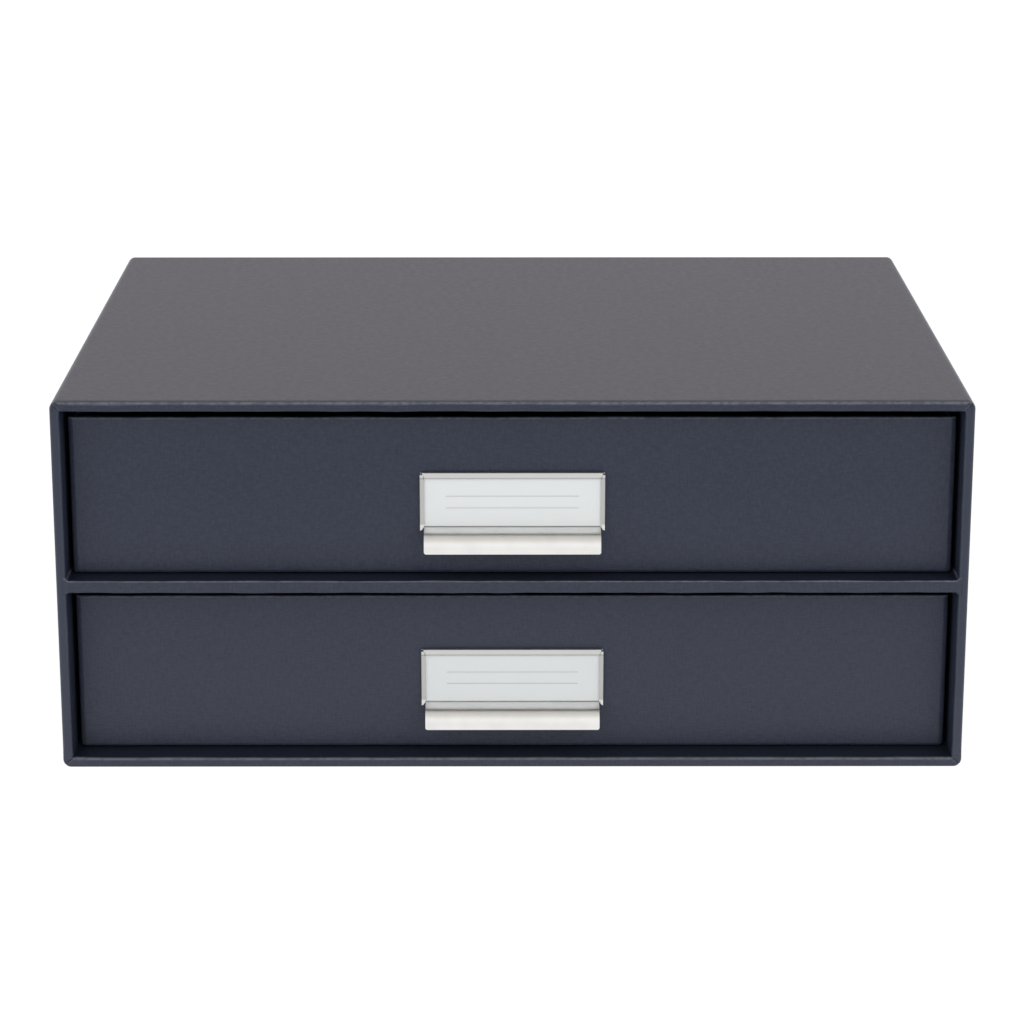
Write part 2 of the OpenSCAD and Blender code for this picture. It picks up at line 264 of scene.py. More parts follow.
casePaper = {
    "wall": 0.0036,  # board with paper on both faces
    "turnIn": 0.015,
    "seam": 0.00015,  # gap beside the sheets on the back and under the base
    "longEdge": 0.003,  # radius of the long outer edges
    "outerEdge": 0.0017,  # radius round the outline of the front and back
    "innerEdge": 0.0014,  # radius round the front opening
    "footEdge": 0.00035,  # radius of the edges that stand on the desk
    "footSteps": 5,  # in which the outline's radius grows from the foot's to its own
    "stepHeight": 0.001,
    "sag": 0.0004,  # how far the strip turned in under the top hangs down
    "paper": 0.0003,
    # distances between the cuts that let the paper bend
    "wideCuts": 0.0045,
    "shelfCuts": 0.0008,  # near the divider
    "closeCuts": 0.0007,  # at the corners
    "depthCuts": (0.003, 0.005, 0.008, 0.012),  # places of the cuts behind the front
    "waveLength": 0.013,
    "waveHeight": 0.0004,
    "waveDepth": 0.0016,  # how far behind the front the waves are whole
    "waveEnd": 0.006,  # and how far they reach at half their height
    "foldPlace": 0.0025,  # from the front to the crease across the top
    "creaseWidth": 0.0002,
    "creaseDepth": 0.00025,
    "mitreReach": 0.006,  # length of the slanting crease in a corner
    "cornerReach": 0.007,
    "cornerDepth": 0.0035,
    "crumpleLength": 0.0015,
    "crumpleHeight": 0.0004,
}


def makeCasePaper(settings):
    low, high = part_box("case_wrap")
    wall, turnIn = settings["wall"], settings["turnIn"]
    front, back = low.y, high.y
    piece = startBox("caseWrap", low, high)
    # the opening of both bays, with its strip turned in
    pick(piece, "faces", lambda c, n: n.y < -0.9)
    bpy.ops.mesh.inset(thickness=wall)
    bpy.ops.mesh.extrude_region_move(TRANSFORM_OT_translate={"value": (0, turnIn, 0)})
    bpy.ops.mesh.delete(type="FACE")
    # the place of the back sheet, inside the turned-over strip
    strip = turnIn - settings["seam"]
    pick(piece, "faces", lambda c, n: n.y > 0.9)
    bpy.ops.mesh.inset(thickness=strip)
    bpy.ops.mesh.delete(type="FACE")
    # the long edges are rounded first
    roundEdges(piece, 1, lambda a, b: abs(a.y - b.y) > 0.2 and same(abs(a.x), high.x))
    applied(piece, "BEVEL", limit_method="WEIGHT", width=settings["longEdge"], segments=8,
            use_clamp_overlap=False)
    # the place of the base sheet
    pick(piece, "faces", lambda c, n: n.z < -0.9 and c.z < low.z + tiny and abs(c.y) < 0.1)
    bpy.ops.mesh.inset(thickness=strip)
    widen = (high.x - strip) / (high.x - settings["longEdge"] - strip)
    bpy.ops.transform.resize(value=(widen, 1, 1), center_override=(0, 0, low.z))
    bpy.ops.mesh.delete(type="FACE")
    bpy.ops.mesh.select_all(action="SELECT")
    bpy.ops.transform.edge_bevelweight(value=-1)
    # then the outlines of the front and back, with a radius that grows above the foot
    outer, foot = settings["outerEdge"], settings["footEdge"]
    steps, stepHeight = settings["footSteps"], settings["stepHeight"]
    start = low.z + settings["longEdge"]
    cutAcross(piece, 2, [start + stepHeight * (step + 0.5) for step in range(steps)])
    outline = lambda p: max(abs(p.x) - high.x, p.z - high.z, low.z - p.z) > -0.001
    atEnd = lambda a, b: same(a.y, b.y) and min(abs(a.y - front), abs(a.y - back)) < tiny
    stepOf = lambda a, b: max(0, min(steps, round(((a.z + b.z) / 2 - start) / stepHeight)))
    for step in range(steps + 1):
        roundEdges(piece, (foot + (outer - foot) * step / steps) / outer,
                   lambda a, b: atEnd(a, b) and outline(a) and outline(b) and stepOf(a, b) == step)
    # and the opening, whose upper strip sags
    roundEdges(piece, settings["innerEdge"] / outer, lambda a, b: same(a.y, front)
               and same(b.y, front) and not outline(a) and not outline(b))
    pick(piece, "points", lambda p: same(p.z, high.z - wall))
    bpy.ops.transform.translate(value=(0, 0, -settings["sag"]))
    applied(piece, "BEVEL", limit_method="WEIGHT", width=outer, segments=6, use_clamp_overlap=False)
    # cuts close together at the corners and the divider's ends, and further apart elsewhere
    reach, rounded = settings["cornerReach"], settings["longEdge"] + 0.0001
    wide, close = settings["wideCuts"], settings["closeCuts"]
    endX, topZ = high.x - reach, high.z - reach
    shelfLow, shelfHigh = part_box("divider_wrap")
    shelfZ = spread(shelfLow.z - 0.003, shelfHigh.z + 0.003, settings["shelfCuts"])
    cornerX = spread(endX, high.x - rounded, close)
    cutAcross(piece, 0, spread(-endX, endX, wide) + cornerX + [-x for x in cornerX] + [-endX, endX])
    cutAcross(piece, 2, spread(reach, topZ, wide) + shelfZ + spread(rounded, reach, close)
              + spread(topZ, high.z - rounded, close) + [reach, topZ])
    cutAcross(piece, 1, [front + y for y in settings["depthCuts"]] + [back - 0.004])
    # mitred creases at the four front corners
    width, mitre = settings["creaseWidth"], settings["mitreReach"]
    for sideX in (-1, 1):
        for edgeZ, sideZ in ((low.z, -1), (high.z, 1)):
            corner = Vector((sideX * high.x, front, edgeZ))
            across = Vector((sideX, 0, -sideZ)).normalized()
            for offset in (-width, 0, width):
                pick(piece, "faces", lambda c, n: (c - corner).length < mitre + width and n.y < -0.05)
                bpy.ops.mesh.bisect(plane_co=corner + across * offset, plane_no=across)
            markGroup(piece, "mitre", 1, lambda p: (p - corner).length < mitre - width
                      and abs((p - corner).dot(across)) < tiny and p.y < front + settings["innerEdge"])
    # the crease where the top's paper turns down over the front edge
    fold, cornerEnd = front + settings["foldPlace"], front + settings["cornerDepth"]
    cutAcross(piece, 1, [fold - width, fold, fold + width],
              lambda c, n: c.z > high.z - 0.0005 and c.y < cornerEnd)
    markGroup(piece, "fold", 1, lambda p: same(p.y, fold) and p.z > high.z - tiny
              and abs(p.x) < high.x - 0.0028)
    # soft waves round the frame, and crumples in its corners
    waveDepth, waveEnd = front + settings["waveDepth"], front + settings["waveEnd"]
    inside = lambda p, edge: abs(p.x) < high.x - edge and edge < p.z < high.z - edge
    markGroup(piece, "rim", 1, lambda p: p.y < waveDepth and inside(p, outer))
    markGroup(piece, "rim", 0.5, lambda p: waveDepth < p.y < waveEnd and inside(p, outer))
    markGroup(piece, "corner", 1, lambda p: p.y < cornerEnd and abs(p.x) > endX
              and (p.z < reach or p.z > topZ) and inside(p, 0.001))
    dent(piece, "mitre", settings["creaseDepth"])
    dent(piece, "fold", settings["creaseDepth"])
    waves(piece, "rim", settings["waveLength"], settings["waveHeight"])
    waves(piece, "corner", settings["crumpleLength"], settings["crumpleHeight"])
    applied(piece, "SOLIDIFY", thickness=settings["paper"], offset=-1)
    finishPiece(piece, "case", "cover_paper", "case_wrap")


makeCasePaper(casePaper)

# ---------- covering paper of the divider ----------

dividerPaper = {
    "edge": 0.0007,
    "paper": 0.0003,
    "wallFace": 0.1614,  # the bay's side wall, measured from the middle
    "beforeWall": 0.0011,  # where the ends start to flare
    "wideCuts": 0.004,
    "endCuts": (0.001, 0.002, 0.003, 0.004, 0.005, 0.006),
    "depthCuts": (0.002, 0.004, 0.008),
    "waveLength": 0.012,
    "waveHeight": 0.0006,
    # how far each step of the flared ends goes, and how much taller it gets
    "flare": ((0.0005, 1.06), (0.0005, 1.14), (0.0004, 1.22), (0.0007, 1.12)),
    "crumpleLength": 0.0013,
    "crumpleHeight": 0.0004,
}


def makeDividerPaper(settings):
    low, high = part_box("divider_wrap")
    middle = (low.z + high.z) / 2
    start = settings["wallFace"] - settings["beforeWall"]
    piece = startBox("dividerWrap", (-start, low.y, low.z), (start, high.y, high.z))
    # an open channel: no ends and no back
    pick(piece, "faces", lambda c, n: abs(n.x) > 0.9 or n.y > 0.9)
    bpy.ops.mesh.delete(type="FACE")
    roundEdges(piece, 1, lambda a, b: same(a.y, low.y) and same(b.y, low.y) and same(a.z, b.z))
    applied(piece, "BEVEL", limit_method="WEIGHT", width=settings["edge"], segments=6,
            use_clamp_overlap=False)
    # the ends flare out to the side walls, where the paper is tucked
    for side in (-1, 1):
        reach = start
        for step, widen in settings["flare"]:
            pick(piece, "edges", lambda a, b: same(a.x, side * reach) and same(b.x, side * reach))
            bpy.ops.mesh.extrude_edges_move(TRANSFORM_OT_translate={"value": (side * step, 0, 0)})
            bpy.ops.transform.resize(value=(1, 1, widen), center_override=(0, 0, middle))
            reach += step
    endX = [start - x for x in settings["endCuts"]]
    cutAcross(piece, 0, spread(-endX[-1], endX[-1], settings["wideCuts"]))
    cutAcross(piece, 0, [-x for x in endX] + endX)
    cutAcross(piece, 1, [low.y + y for y in settings["depthCuts"]])
    cutAcross(piece, 2, spread(low.z + settings["edge"], high.z - settings["edge"], 0.0008))
    markGroup(piece, "edge", 1, lambda p: p.y < low.y + 0.0021)
    markGroup(piece, "ends", 1, lambda p: abs(p.x) > start - 0.0035 and p.y < low.y + 0.0021)
    waves(piece, "edge", settings["waveLength"], settings["waveHeight"])
    waves(piece, "ends", settings["crumpleLength"], settings["crumpleHeight"])
    applied(piece, "SOLIDIFY", thickness=settings["paper"], offset=-1)
    finishPiece(piece, "case", "cover_paper", "divider_wrap", 50)


makeDividerPaper(dividerPaper)

# ---------- covering paper of the drawers ----------

drawerPaper = {
    "wall": 0.0031,
    "turnIn": 0.015,
    "seam": 0.00015,
    "upright": 0.0023,  # radius of the upright corners
    "edge": 0.0011,  # radius of the rim's edges
    "foot": 0.0014,  # radius of the lower edges
    "paper": 0.0003,
    "waveLength": 0.016,
    "waveHeight": 0.0005,
    "rivetHole": 0.00155,
}


def makeDrawerPaper(settings):
    low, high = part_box("upper_drawer_wrap")
    piece = startBox("upperDrawerWrap", low, high)
    # open at the top, with the strip turned down inside
    pick(piece, "faces", lambda c, n: n.z > 0.9)
    bpy.ops.mesh.inset(thickness=settings["wall"])
    bpy.ops.mesh.extrude_region_move(TRANSFORM_OT_translate={"value": (0, 0, -settings["turnIn"])})
    bpy.ops.mesh.delete(type="FACE")
    # open underneath, inside the strips that are turned under
    pick(piece, "faces", lambda c, n: n.z < -0.9)
    bpy.ops.mesh.inset(thickness=settings["turnIn"] - settings["seam"])
    bpy.ops.mesh.delete(type="FACE")
    # round edges
    roundEdges(piece, 1, lambda a, b: abs(a.z - b.z) > 0.05)
    for z, insets, radius in ((high.z, (0, settings["wall"]), "edge"), (low.z, (0,), "foot")):
        for inset in insets:
            roundEdges(piece, settings[radius] / settings["upright"],
                       lambda a, b: same(a.z, z) and same(b.z, z) and (
                           same(a.x, b.x) and same(abs(a.x), high.x - inset) or same(a.y, b.y)
                           and min(abs(a.y - low.y - inset), abs(high.y - inset - a.y)) < tiny))
    applied(piece, "BEVEL", limit_method="WEIGHT", width=settings["upright"], segments=6,
            use_clamp_overlap=False)
    cutAcross(piece, 0, spread(low.x + 0.004, high.x - 0.004, 0.0045))
    cutAcross(piece, 1, spread(low.y + 0.004, high.y - 0.004, 0.009))
    cutAcross(piece, 2, [low.z + 0.003, low.z + 0.008, (low.z + high.z) / 2,
                         high.z - 0.008, high.z - 0.004, high.z - 0.002])
    markGroup(piece, "rim", 1, lambda p: p.z > high.z - 0.0021)
    markGroup(piece, "rim", 0.5, lambda p: high.z - 0.0041 < p.z < high.z - 0.0021)
    markGroup(piece, "foot", 1, lambda p: low.z + 0.0001 < p.z < low.z + 0.0031)
    return piece


def finishDrawerPaper(piece, settings, drawer):
    # the waves come after the copying, so no two drawers have the same ones
    reopen(piece)
    waves(piece, "rim", settings["waveLength"], settings["waveHeight"])
    waves(piece, "foot", settings["waveLength"], settings["waveHeight"] / 2)
    applied(piece, "SOLIDIFY", thickness=settings["paper"], offset=-1)
    drill(piece, rivetPlaces(drawer + "_holder_rivets"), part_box(drawer + "_drawer_wrap")[0].y,
          settings["rivetHole"])
    finishPiece(piece, drawer + "_drawer", "cover_paper", drawer + "_drawer_wrap")


upperDrawerWrap = makeDrawerPaper(drawerPaper)
lowerDrawerWrap = copyTo(upperDrawerWrap, "lowerDrawerWrap", "upper_drawer_wrap", "lower_drawer_wrap")
finishDrawerPaper(upperDrawerWrap, drawerPaper, "upper")
finishDrawerPaper(lowerDrawerWrap, drawerPaper, "lower")

# ---------- label holders ----------

sheetMetal = {
    "sheet": 0.0005,
    "slot": 0.0009,  # room for the card behind the folded edges
    "frameWidth": 0.0672,
    "pullWidth": 0.0638,
    "topBand": 0.0023,
    "sideBand": 0.0017,
    "notch": 0.0009,
    "tipDrop": 0.0015,
    "slit": 0.0003,
    "shelfBend": 0.001,  # inside radius of the bend under the card
    "lipBend": 0.0055,  # outside radius of the bend at the front of the pull
    "foldBend": 0.0006,  # outside radius of the frame's folds
    "pullReach": 0.011,
    "pullDrop": 0.0076,
    "lipCorner": 0.0008,
    "burr": 0.00009,  # rounding of the cut edges
    "mitreGap": 0.00003,
}


def drawOut(x, y, z):
    # pulls new sheet out of the picked edges
    bpy.ops.mesh.extrude_edges_move(TRANSFORM_OT_translate={"value": (x, y, z)})


def makeHolder(settings):
    low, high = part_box("upper_label_holder")
    half = settings["sheet"] / 2
    shelf = low.z + settings["pullDrop"]  # upper face of the pull
    plateFoot = shelf + settings["shelfBend"]
    sideX = settings["frameWidth"] / 2 - half
    pullX = settings["pullWidth"] / 2
    slitX = pullX + settings["slit"]
    topZ = high.z - half
    tipZ = shelf - settings["tipDrop"]
    notchZ = high.z - settings["notch"]
    notchX = settings["frameWidth"] / 2 - settings["notch"]
    windowX = settings["frameWidth"] / 2 - settings["sideBand"]
    windowZ = high.z - settings["topBand"]
    # where the slanting cut between the folds comes out at the notch
    mitreX = windowX + (notchX - windowX) * (notchZ - windowZ) / (topZ - windowZ)
    # the middle of the sheet is modelled first, and gets its thickness at the end
    plateY = high.y - half
    foldY = plateY - settings["sheet"] - settings["slot"]
    lipY = high.y - settings["pullReach"] + half
    piece = startBox("upperLabelHolder", (-sideX, plateY, plateFoot), (sideX, plateY + 0.001, topZ))
    pick(piece, "faces", lambda c, n: n.y > -0.9)
    bpy.ops.mesh.delete(type="FACE")
    cutAcross(piece, 0, [-slitX, -pullX, pullX, slitX, -notchX, notchX])
    cutAcross(piece, 2, [notchZ])
    # the two sides reach further down than the plate
    pick(piece, "edges", lambda a, b: same(a.z, plateFoot) and same(b.z, plateFoot)
         and min(abs(a.x), abs(b.x)) > slitX - tiny)
    drawOut(0, 0, tipZ - plateFoot)
    # they are folded forward, and in over the card
    for side in (-1, 1):
        pick(piece, "edges", lambda a, b: same(a.x, side * sideX) and same(b.x, side * sideX)
             and max(a.z, b.z) < notchZ + tiny)
        drawOut(0, foldY - plateY, 0)
        drawOut(side * (mitreX - sideX), 0, 0)
        drawOut(side * (windowX - mitreX), 0, 0)
    # the top is folded in the same way
    pick(piece, "edges", lambda a, b: same(a.z, topZ) and same(b.z, topZ)
         and max(abs(a.x), abs(b.x)) < notchX + tiny)
    drawOut(0, foldY - plateY, 0)
    drawOut(0, 0, windowZ - topZ)
    # mitre where the folds meet at the window's upper corners, and slanting lower ends
    gap = settings["mitreGap"]
    for side in (-1, 1):
        pick(piece, "points", lambda p: same(p.x, side * windowX) and same(p.z, notchZ))
        bpy.ops.transform.translate(value=(0, 0, windowZ - gap - notchZ))
        pick(piece, "points", lambda p: same(p.x, side * notchX) and same(p.z, windowZ))
        bpy.ops.transform.translate(value=(side * (windowX + gap / 2 - notchX), 0, 0))
        pick(piece, "points", lambda p: same(p.z, tipZ)
             and (same(p.x, side * windowX) or same(p.x, side * slitX)))
        bpy.ops.transform.translate(value=(0, 0, shelf - tipZ))
        pick(piece, "points", lambda p: same(p.z, tipZ) and same(p.x, side * mitreX))
        bpy.ops.transform.translate(value=(0, 0, (shelf - tipZ) * (sideX - mitreX) / (sideX - windowX)))
    # the pull: out from the plate's foot, and down again
    pick(piece, "edges", lambda a, b: same(a.z, plateFoot) and same(b.z, plateFoot)
         and max(abs(a.x), abs(b.x)) < pullX + tiny)
    drawOut(0, 0, shelf - half - plateFoot)
    drawOut(0, lipY - plateY, 0)
    drawOut(0, 0, low.z - (shelf - half))
    pick(piece, "points", lambda p: same(abs(p.x), pullX) and same(p.z, low.z))
    bpy.ops.mesh.bevel(offset=settings["lipCorner"], segments=5, affect="VERTICES")
    # bends, by the radius at the sheet's middle
    widest = settings["lipBend"] - half
    narrow = settings["foldBend"] - half
    for radius, test in (
        (settings["shelfBend"] + half, lambda a, b: same(a.z, shelf - half) and same(b.z, shelf - half)
         and same(a.y, plateY) and same(b.y, plateY)),
        (widest, lambda a, b: same(a.z, shelf - half) and same(b.z, shelf - half)
         and same(a.y, lipY) and same(b.y, lipY)),
        (narrow, lambda a, b: same(a.z, topZ) and same(b.z, topZ)
         and same(a.y, b.y) and max(abs(a.x), abs(b.x)) < notchX + tiny),
        (narrow, lambda a, b: same(abs(a.x), sideX) and same(abs(b.x), sideX)
         and same(a.y, b.y) and max(a.z, b.z) < notchZ + tiny),
    ):
        roundEdges(piece, radius / widest, test)
    applied(piece, "BEVEL", limit_method="WEIGHT", width=widest, segments=10, use_clamp_overlap=False)
    applied(piece, "SOLIDIFY", thickness=settings["sheet"], offset=0, use_even_offset=True)
    applied(piece, "BEVEL", limit_method="ANGLE", angle_limit=math.radians(60),
            width=settings["burr"], segments=2, use_clamp_overlap=True)
    drill(piece, rivetPlaces("upper_holder_rivets"), high.y, drawerPaper["rivetHole"])
    return piece


upperLabelHolder = makeHolder(sheetMetal)
lowerLabelHolder = copyTo(upperLabelHolder, "lowerLabelHolder", "upper_label_holder", "lower_label_holder")
for piece, drawer in ((upperLabelHolder, "upper"), (lowerLabelHolder, "lower")):
    reopen(piece)
    finishPiece(piece, drawer + "_drawer", "holder_metal", drawer + "_label_holder", 30)

# ---------- label cards ----------

cardStock = {
    "corner": 0.0008,
    "edge": 0.00006,
}


def makeCard(settings):
    low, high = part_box("upper_label_card")
    piece = startBox("upperLabelCard", low, high)
    pick(piece, "edges", lambda a, b: abs(a.y - b.y) > 0.0001)
    bpy.ops.mesh.bevel(offset=settings["corner"], segments=4)
    pick(piece, "faces", lambda c, n: abs(n.y) > 0.9)
    bpy.ops.mesh.region_to_loop()
    bpy.ops.mesh.bevel(offset=settings["edge"], segments=2)
    return piece


upperLabelCard = makeCard(cardStock)
lowerLabelCard = copyTo(upperLabelCard, "lowerLabelCard", "upper_label_card", "lower_label_card")
for piece, drawer in ((upperLabelCard, "upper"), (lowerLabelCard, "lower")):
    reopen(piece)
    finishPiece(piece, drawer + "_drawer", "card", drawer + "_label_card")

# ---------- rivets ----------

hollowRivet = {
    # radius and place along the axis in millimetres, from the middle of the head round to the hollow
    "outline": ((2.7, -0.85), (2.93, -0.81), (3.0, -0.7), (2.97, -0.55), (2.85, -0.5), (1.5, -0.5),
                (1.5, 3.1), (2.35, 3.1), (2.62, 3.2), (2.7, 3.4), (2.62, 3.62), (2.35, 3.77),
                (1.95, 3.8), (1.5, 3.72), (1.15, 3.5), (0.95, 3.15), (0.9, 2.7), (0.9, 0.95), (0.8, 0.8)),
    "unit": 0.001,
    "steps": 40,
}


def makeRivets(settings):
    unit = settings["unit"]
    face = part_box("upper_drawer_wrap")[0].y
    places = rivetPlaces("upper_holder_rivets")
    x, z = places[0]
    # one point is drawn out along the outline, and the outline is spun round the axis
    outline = settings["outline"]
    middle = Vector((x, face + outline[0][1] * unit, z))
    size = Vector((unit, unit, unit))
    piece = startBox("upperHolderRivets", middle - size, middle + size)
    bpy.ops.mesh.select_mode(type="VERT")
    bpy.ops.mesh.select_all(action="SELECT")
    bpy.ops.mesh.merge(type="CENTER")
    lastRadius, lastAlong = 0, outline[0][1]
    for radius, along in outline + ((0, outline[-1][1]),):
        bpy.ops.mesh.extrude_vertices_move(TRANSFORM_OT_translate={
            "value": ((radius - lastRadius) * unit, (along - lastAlong) * unit, 0)})
        lastRadius, lastAlong = radius, along
    bpy.ops.mesh.select_all(action="SELECT")
    bpy.ops.mesh.spin(steps=settings["steps"], angle=2 * math.pi, center=(x, face, z), axis=(0, 1, 0))
    bpy.ops.mesh.select_all(action="SELECT")
    bpy.ops.mesh.remove_doubles(threshold=0.000005)
    bpy.ops.mesh.duplicate_move(TRANSFORM_OT_translate={"value": (places[1][0] - x, 0, 0)})
    return piece


upperHolderRivets = makeRivets(hollowRivet)
lowerHolderRivets = copyTo(upperHolderRivets, "lowerHolderRivets",
                           "upper_holder_rivets", "lower_holder_rivets")
for piece, drawer in ((upperHolderRivets, "upper"), (lowerHolderRivets, "lower")):
    reopen(piece)
    finishPiece(piece, drawer + "_drawer", "rivet_metal", drawer + "_holder_rivets")

# ---------- finishes ----------


class Wire:
    # an output of a shader node that can be used in sums
    def __init__(self, tree, socket=None):
        self.tree, self.socket = tree, socket

    def add(self, kind, settings=None, inputs=None, out=0):
        # adds a node, sets it up, fills its inputs and gives back one of its outputs
        node = self.tree.nodes.new("ShaderNode" + kind)
        for name, value in (settings or {}).items():
            setattr(node, name, value)
        for name, value in (inputs or {}).items():
            if isinstance(value, Wire):
                self.tree.links.new(value.socket, node.inputs[name])
            else:
                node.inputs[name].default_value = value
        return Wire(self.tree, node.outputs[out] if node.outputs else None)

    def other(self, out):
        # another output of the same node
        return Wire(self.tree, self.socket.node.outputs[out])

    def maths(self, operation, *values, clamp=False):
        return self.add("Math", {"operation": operation, "use_clamp": clamp}, dict(enumerate(values)))

    def __add__(self, other):
        return self.maths("ADD", self, other)

    def __sub__(self, other):
        return self.maths("SUBTRACT", self, other)

    def __rsub__(self, other):
        return self.maths("SUBTRACT", other, self)

    def __mul__(self, other):
        return self.maths("MULTIPLY", self, other)

    def __abs__(self):
        return self.maths("ABSOLUTE", self)

    __radd__, __rmul__ = __add__, __mul__

    def mix(self, factor, first, second):
        # between two colours
        return self.add("Mix", {"data_type": "RGBA"}, {0: factor, 6: first, 7: second}, 2)

    def ramp(self, low, high):
        # this value made 0 at low and 1 at high, and softly in between
        return self.add("MapRange", {"interpolation_type": "SMOOTHSTEP"},
                        {"Value": self, "From Min": low, "From Max": high})

    def noise(self, place, grains, detail=2, roughness=0.5, shift=(0, 0, 0)):
        # a noise with its own number of grains to the metre along each axis
        moved = self.add("Mapping", {}, {"Vector": place, "Scale": grains, "Location": shift})
        return self.add("TexNoise", {}, {"Vector": moved, "Scale": 1, "Detail": detail,
                                         "Roughness": roughness})

    def bump(self, height, distance):
        return self.add("Bump", {}, {"Height": height, "Distance": distance, "Strength": 1})


def newFinish(name):
    material = bpy.data.materials.new(name)
    material.use_nodes = True
    material.node_tree.nodes.clear()
    return material, Wire(material.node_tree)


def endFinish(material, wire, **inputs):
    # the Principled shader, with underscores for the spaces in the names of its inputs
    shader = wire.add("BsdfPrincipled", {}, {n.replace("_", " "): v for n, v in inputs.items()})
    wire.add("OutputMaterial", {}, {"Surface": shader})
    return material


coverSettings = {
    "navy": (0.0198, 0.0268, 0.0522, 1),
    "paleThread": (0.0305, 0.0402, 0.071, 1),
    # paler paper on worn edges, with painted highlights on the upper edges and beside the corner folds
    "worn": (0.15, 0.16, 0.195, 1),
    "faded": (0.026, 0.009, 0.030, 1),  # painted sheen: the top takes the tint of its grazing reflection
    "dusty": (0.06, 0.067, 0.098, 1),
    "dust": 0.55,  # share of the painted light on the front's foot
    "dustFall": 5.2,  # how much less of it there is a metre higher
    # painted shade: in the bays, in the fold across the top and in the corner folds
    "crease": (0.006, 0.008, 0.015, 1),
    "threadLength": 300,  # grains to the metre along a thread
    "threadWidth": 1900,  # and across it
    "roughness": 0.46,
    "gloss": 0.38,
}


def makeCoverPaper(settings):
    material, wire = newFinish("coverPaper")
    place = wire.add("TexCoord", out="Object")
    facing = wire.add("SeparateXYZ", {}, {0: wire.add("TexCoord", out="Normal")})
    sides = [abs(facing.other(axis)) for axis in range(3)]
    # embossed threads in three directions; a face shows the two that lie in it
    threads = 0
    for axis in range(3):
        grains = [settings["threadWidth"]] * 3
        grains[axis] = settings["threadLength"]
        threads = threads + (wire.noise(place, grains, 3, 0.6) - 0.5) * (1 - sides[axis])
    coarse = wire.noise(place, (35, 35, 35), 3, 0.55)
    cloudy = wire.noise(place, (420, 420, 420), 2, 0.5)
    # rubbed edges, with a painted highlight: only round edges have a normal between the axes, and the ones that
    # face up a little get the most, as a painted highlight where light from above falls
    flatness = wire.maths("MAXIMUM", wire.maths("MAXIMUM", sides[0], sides[1]), sides[2])
    upward = facing.other(2)
    wearAndHighlight = ((1 - flatness).ramp(0.02, 0.2) * 0.2 + upward.ramp(0.15, 0.5) * (1 - upward.ramp(0.65, 0.92)))
    wearAndHighlight = wearAndHighlight * (cloudy.ramp(0.36, 0.62) * 0.45 + 0.55)
    specks = wire.noise(place, (1300, 1300, 1300), 2, 0.6)
    across = wire.add("SeparateXYZ", {}, {0: place})
    height = across.other(2)
    fromSide = cadHigh.x - abs(across)
    # paler on the front ends of the case's walls, and, as painted light, paler lower down on the faces that
    # look forward or back
    pale = threads * 1.9 + 0.42 + (coarse - 0.5) * 0.25 + (cloudy - 0.5) * 0.3 + (specks - 0.5) * 1.6
    pale = pale + (1 - fromSide.ramp(0.003, 0.005)) * 0.6
    colour = wire.mix(pale.ramp(0, 1), settings["navy"], settings["paleThread"])
    lowness = wire.maths("MAXIMUM", settings["dust"] - height * settings["dustFall"], 0)
    lowness = lowness * sides[1].ramp(0.1, 0.5)
    colour = wire.mix(lowness * (0.9 + threads * 1.5 + specks * 0.2), colour, settings["dusty"])
    # painted shade on the strips that face up inside the bays, where little light reaches
    colour = wire.mix(upward.ramp(0.85, 1) * (1 - height.ramp(cadHigh.z - 0.003, cadHigh.z - 0.001)) * 0.6,
                      colour, settings["crease"])
    # painted sheen on the top's upper face
    colour = wire.mix(upward.ramp(0.9, 1) * height.ramp(cadHigh.z - 0.001, cadHigh.z - 0.0002)
                      * (0.7 + threads * 2.6 + (specks - 0.5) * 2.4), colour, settings["faded"])
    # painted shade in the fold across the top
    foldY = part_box("case_wrap")[0].y + casePaper["foldPlace"] - 0.0002
    fold = 1 - abs(across.other(1) - foldY + (cloudy - 0.5) * 0.0006).ramp(0.0003, 0.0009)
    colour = wire.mix(fold * height.ramp(cadHigh.z - 0.0012, cadHigh.z - 0.0008) * 0.6,
                      colour, settings["crease"])
    # painted highlight and painted shade along the folds that run slanting into the corners of the front
    slant = (fromSide - wire.maths("MINIMUM", cadHigh.z - height, height) + (cloudy - 0.5) * 0.001
             + (specks - 0.5) * 0.0006)
    inCorner = (1 - fromSide.ramp(0.0036, 0.0046)) * sides[1].ramp(0.3, 0.6)
    colour = wire.mix((1 - abs(slant - 0.0005).ramp(0, 0.0005)) * inCorner * 0.35, colour, settings["worn"])
    colour = wire.mix((1 - abs(slant).ramp(0.0001, 0.0004)) * inCorner * 0.8, colour, settings["crease"])
    colour = wire.mix(wearAndHighlight * 0.8, colour, settings["worn"])
    return endFinish(
        material, wire, Base_Color=colour, Specular_IOR_Level=settings["gloss"],
        Roughness=settings["roughness"] + (cloudy - 0.5) * 0.12 - wearAndHighlight * 0.06,
        Normal=wire.bump(threads + (specks - 0.5) * 0.8 + (cloudy - 0.5) * 0.25, 0.00007))


def makeLiningPaper():
    material, wire = newFinish("liningPaper")
    place = wire.add("TexCoord", out="Object")
    fibres = wire.noise(place, (900, 900, 900), 4, 0.65)
    cloudy = wire.noise(place, (60, 60, 60), 3, 0.5)
    flecks = wire.noise(place, (1500, 500, 1500), 1, 0.5).ramp(0.66, 0.74)
    colour = wire.mix(fibres * 0.6 + cloudy * 0.4, (0.012, 0.015, 0.023, 1), (0.026, 0.031, 0.042, 1))
    colour = wire.mix(flecks * 0.35, colour, (0.09, 0.095, 0.11, 1))
    return endFinish(material, wire, Base_Color=colour, Roughness=0.62 + (fibres - 0.5) * 0.15,
                     Normal=wire.bump(fibres, 0.00004))


